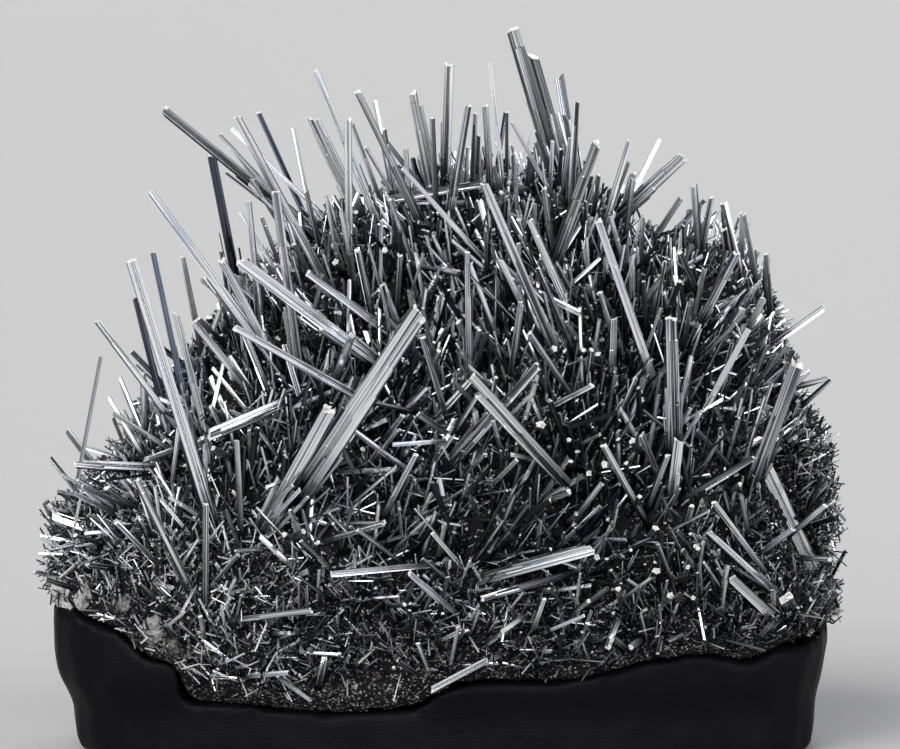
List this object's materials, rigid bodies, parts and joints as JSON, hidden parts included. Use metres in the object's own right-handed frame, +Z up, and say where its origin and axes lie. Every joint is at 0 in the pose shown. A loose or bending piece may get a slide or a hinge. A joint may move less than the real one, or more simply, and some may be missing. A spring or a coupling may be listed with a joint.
{
  "type": "stibnite crystal spray",
  "caption": "Metre-wide cluster of long metallic stibnite crystals on a lumpy matrix, resting in a black display cradle that follows its underside.",
  "frame": {"origin": "on the floor, under the middle of the stand", "axes": "+Z up, +X to the right as seen from the front, +Y away from the front"},
  "size_m": [0.9934, 0.6483, 0.8967],
  "materials": {
    "crystal": "bright silver-grey metallic stibnite with fine lengthwise grooves and near-white broken ends",
    "crystal_dark": "dark blue-grey tarnished stibnite with fine lengthwise grooves",
    "matrix": "granular massive stibnite, dark grey with pale and brownish grains",
    "stand": "rough matt black"
  },
  "bodies": {
    "root": {"crown_blade": "crystal", "crown_rod": "crystal", "crown_leaning_rod": "crystal", "crown_side_rod": "crystal", "right_shoulder_needle": "crystal", "right_shoulder_rod": "crystal", "right_shoulder_beam": "crystal", "top_rod": "crystal", "top_left_rod": "crystal", "top_needle": "crystal", "top_short_rod": "crystal", "top_slanting_needle": "crystal", "top_leaning_rod": "crystal", "top_upright_rod": "crystal", "top_crossing_needle": "crystal", "top_lying_bar": "crystal", "top_ledge_rod": "crystal", "upper_left_beam": "crystal", "upper_left_high_rod": "crystal", "upper_left_twins": "crystal", "upper_left_needle": "crystal", "upper_left_rod": "crystal", "upper_left_far_rod": "crystal", "upper_left_far_needle": "crystal", "upper_left_dark_blade": "crystal_dark", "middle_left_long_rod": "crystal", "middle_left_upright_rod": "crystal", "middle_left_tall_rod": "crystal", "middle_left_thick_rod": "crystal", "middle_left_beam": "crystal", "middle_left_slanting_rod": "crystal", "middle_left_low_rod": "crystal", "middle_left_short_rod": "crystal", "left_long_rod": "crystal", "left_dark_rod": "crystal_dark", "left_back_rod": "crystal", "left_inner_rod": "crystal", "left_outer_rod": "crystal", "left_upright_needle": "crystal", "left_low_rod": "crystal", "left_lying_blade": "crystal", "front_blade": "crystal", "centre_rods": "crystal", "centre_crossing_bar": "crystal", "centre_upright_rod": "crystal", "right_crown_rod": "crystal", "right_leaning_rod": "crystal", "right_upright_beam": "crystal", "right_upper_rod": "crystal", "right_slanting_rod": "crystal", "right_outer_rod": "crystal", "right_thick_rod": "crystal", "right_big_beam": "crystal", "right_low_rod": "crystal", "right_foot_rod": "crystal", "bottom_lying_blade": "crystal", "matrix": "matrix", "stand": "stand"}
  },
  "joints": []
}
